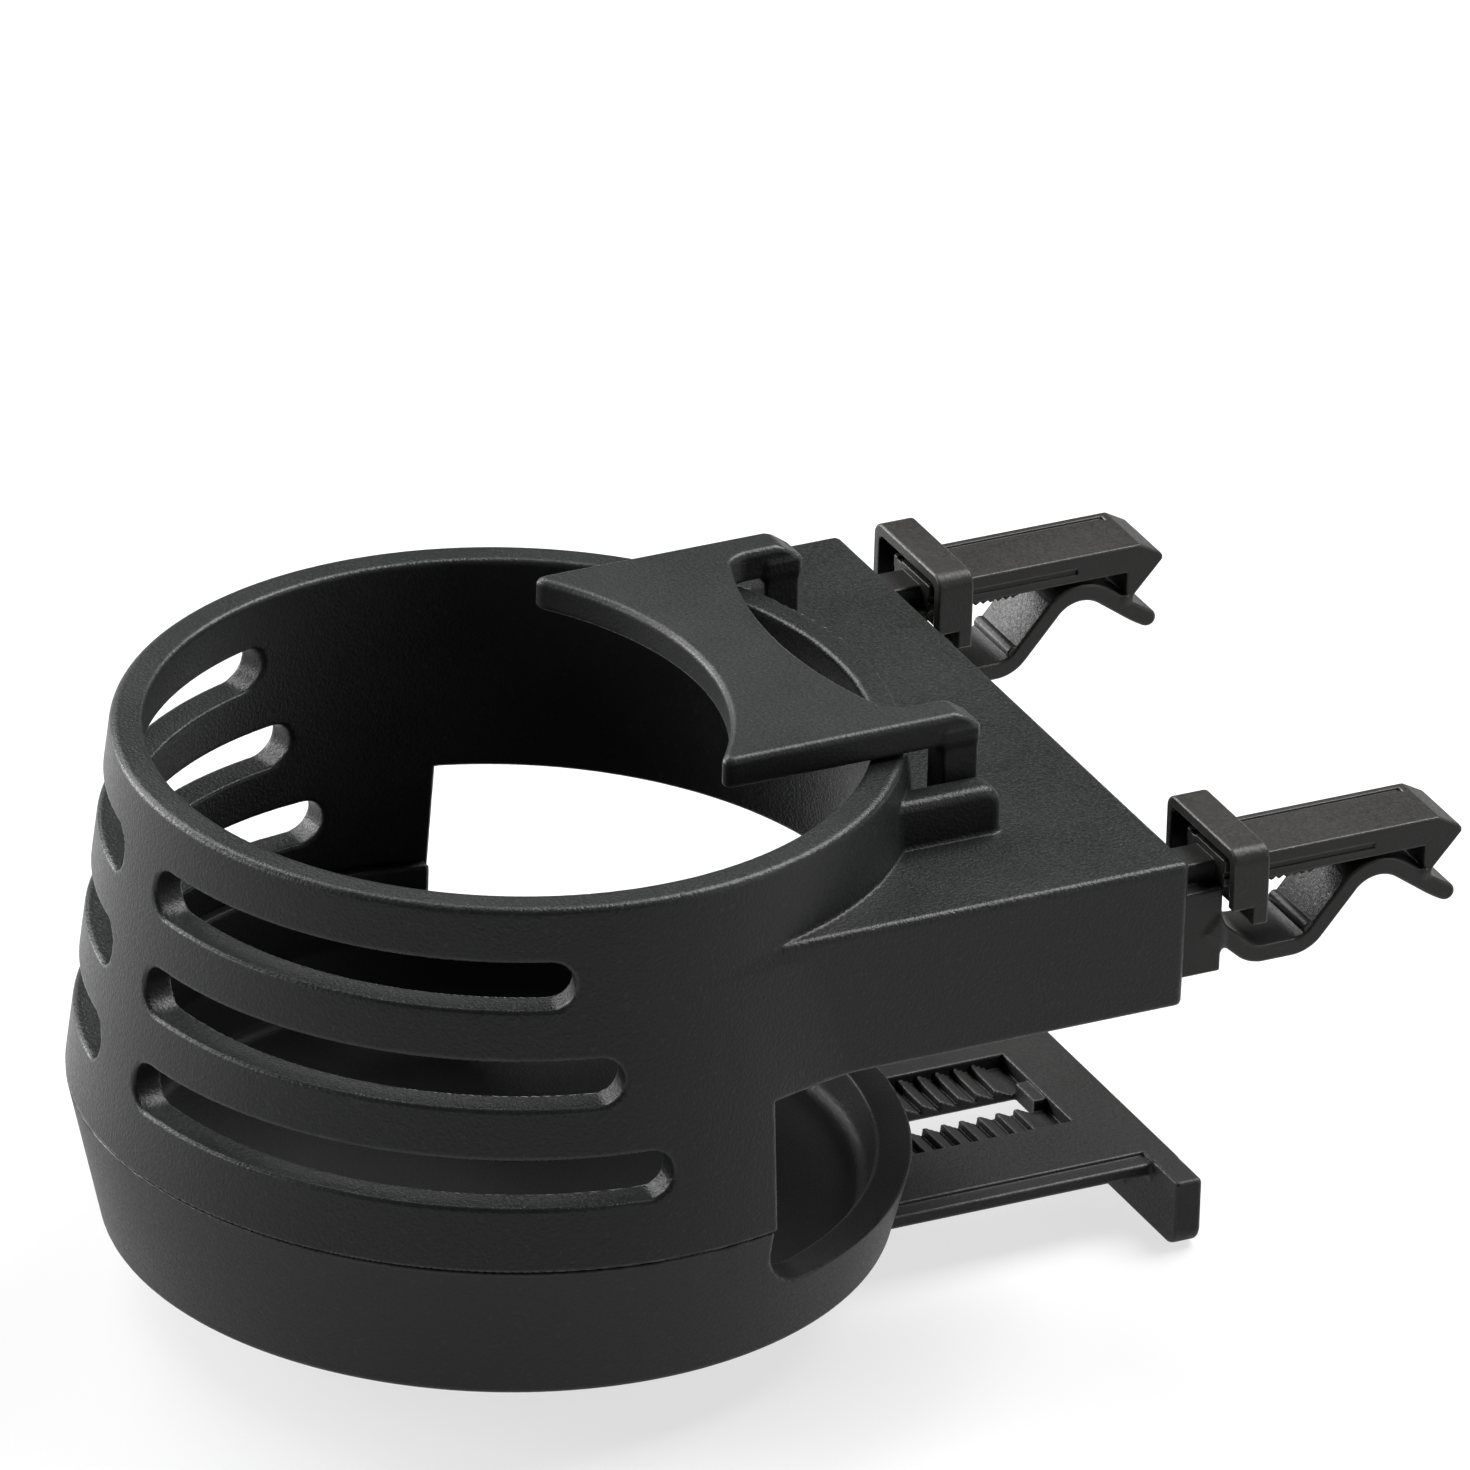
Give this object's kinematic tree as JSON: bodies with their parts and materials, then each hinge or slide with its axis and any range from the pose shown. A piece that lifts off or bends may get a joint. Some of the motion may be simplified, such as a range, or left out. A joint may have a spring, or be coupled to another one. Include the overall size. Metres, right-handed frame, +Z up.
{
  "type": "car cup holder",
  "caption": "Car cup holder for an air vent: slotted ring on a dished base, flip-up presser, swivelling vent clips with collars, and a ratchet support leg.",
  "frame": {"origin": "middle of the cup's floor, on the cup's axis", "axes": "+Z up out of the cup, +Y to the rear towards the air vent, +X to the right for someone who faces the vent"},
  "size_m": [0.101, 0.1529, 0.0754],
  "materials": {
    "body_plastic": "fine grained, matte",
    "clip_plastic": "smooth satin",
    "screw_steel": "zinc plated"
  },
  "bodies": {
    "holder": {"housing": "body_plastic", "base_cup": "body_plastic", "box_cover": "body_plastic", "box_cover_screws": "screw_steel", "leg_guide": "body_plastic", "leg_guide_screws": "screw_steel", "leg_catch": "clip_plastic", "leg_catch_screws": "screw_steel", "clip_spring_washer_left": "screw_steel", "clip_spring_washer_right": "screw_steel"},
    "presser": {"presser": "body_plastic"},
    "leg": {"leg": "body_plastic"},
    "clip_left": {"clip_jaw_left": "clip_plastic", "clip_screw_left": "screw_steel", "clip_washer_left": "screw_steel"},
    "clip_right": {"clip_jaw_right": "clip_plastic", "clip_screw_right": "screw_steel", "clip_washer_right": "screw_steel"},
    "collar_left": {"clip_collar_left": "clip_plastic"},
    "collar_right": {"clip_collar_right": "clip_plastic"}
  },
  "joints": [
    {"name": "presser_flip", "type": "hinge", "parent": "holder", "child": "presser", "pos_m": [0, 0.0457, 0.0518], "axis": [-1, 0, 0], "range_deg": [0, 90]},
    {"name": "leg_slide", "type": "slide", "parent": "holder", "child": "leg", "axis": [0, 1, 0], "range_m": [-0.022, 0.018], "deforming": ["leg_catch"]},
    {"name": "clip_left_swivel", "type": "hinge", "parent": "holder", "child": "clip_left", "pos_m": [-0.038, 0.0655, 0.0397], "axis": [0, 1, 0], "range_deg": [-90, 90]},
    {"name": "clip_right_swivel", "type": "hinge", "parent": "holder", "child": "clip_right", "pos_m": [0.038, 0.0655, 0.0397], "axis": [0, 1, 0], "range_deg": [-90, 90]},
    {"name": "collar_left_slide", "type": "slide", "parent": "clip_left", "child": "collar_left", "axis": [0, 1, 0], "range_m": [-0.0015, 0.009]},
    {"name": "collar_right_slide", "type": "slide", "parent": "clip_right", "child": "collar_right", "axis": [0, 1, 0], "range_m": [-0.0015, 0.009]}
  ]
}
